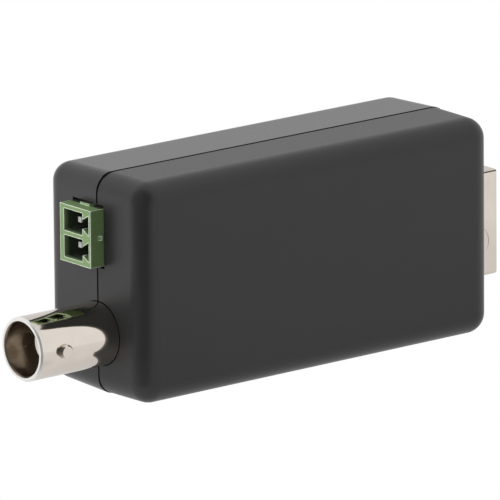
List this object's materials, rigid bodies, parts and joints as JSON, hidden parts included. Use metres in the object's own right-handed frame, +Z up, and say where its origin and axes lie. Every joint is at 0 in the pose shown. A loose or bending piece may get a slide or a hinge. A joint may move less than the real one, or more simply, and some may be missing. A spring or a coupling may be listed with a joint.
{
  "type": "ethernet over coax extender",
  "caption": "Slim black two-shell box that stands on its narrow side, with a coax bayonet socket and a small green power header on one end and a shielded network jack on the other.",
  "frame": {"origin": "under the middle of the whole part, at the level of the lowest rim of the case; the plane where the two shells meet is 1.15 mm from it, towards -Y", "axes": "+X along the case from the coax end to the network end, +Y across it towards the screwed rear face, +Z up"},
  "size_m": [0.0842, 0.0232, 0.0335],
  "materials": {
    "black_case": "fine matt moulding",
    "nickel_plate": "bright nickel plate",
    "tin_sheet": "bright tinned sheet",
    "green_moulding": "satin moulding",
    "black_moulding": "satin moulding",
    "white_insulator": "translucent white moulding",
    "gold_plate": "thin gold plate",
    "tinned_pin": "bright tin",
    "board_laminate": "green lacquer over glass laminate",
    "chip_package": "matt epoxy",
    "ferrite": "dull grey ferrite",
    "can_aluminium": "bare aluminium",
    "white_ceramic": "unglazed ceramic",
    "zinc_steel": "dark zinc plate"
  },
  "bodies": {
    "root": {"bayonet_studs": "nickel_plate", "bnc_body": "nickel_plate", "bnc_centre_contact": "gold_plate", "bnc_insulator": "white_insulator", "bnc_rear_cap": "white_insulator", "bnc_signal_tail": "gold_plate", "case_screws": "zinc_steel", "circuit_board": "board_laminate", "clock_crystal": "tin_sheet", "coax_transformer": "chip_package", "converter_chip": "chip_package", "ethernet_transformer": "chip_package", "input_capacitor": "can_aluminium", "input_diode": "chip_package", "input_fuse": "white_ceramic", "jack_contact_1": "gold_plate", "jack_contact_2": "gold_plate", "jack_contact_3": "gold_plate", "jack_contact_4": "gold_plate", "jack_contact_5": "gold_plate", "jack_contact_6": "gold_plate", "jack_contact_7": "gold_plate", "jack_contact_8": "gold_plate", "jack_contact_carrier": "black_moulding", "jack_insert": "black_moulding", "jack_shield": "tin_sheet", "memory_chip": "chip_package", "modem_chip": "chip_package", "modem_crystal": "white_ceramic", "near_cover": "black_case", "network_chip": "chip_package", "output_capacitor": "can_aluminium", "power_inductor": "ferrite", "rear_cover": "black_case", "small_capacitors": "white_ceramic", "small_resistors": "white_ceramic", "surge_arrester": "white_ceramic", "terminal_housing": "green_moulding", "terminal_pin_1": "tinned_pin", "terminal_pin_2": "tinned_pin"}
  },
  "joints": []
}
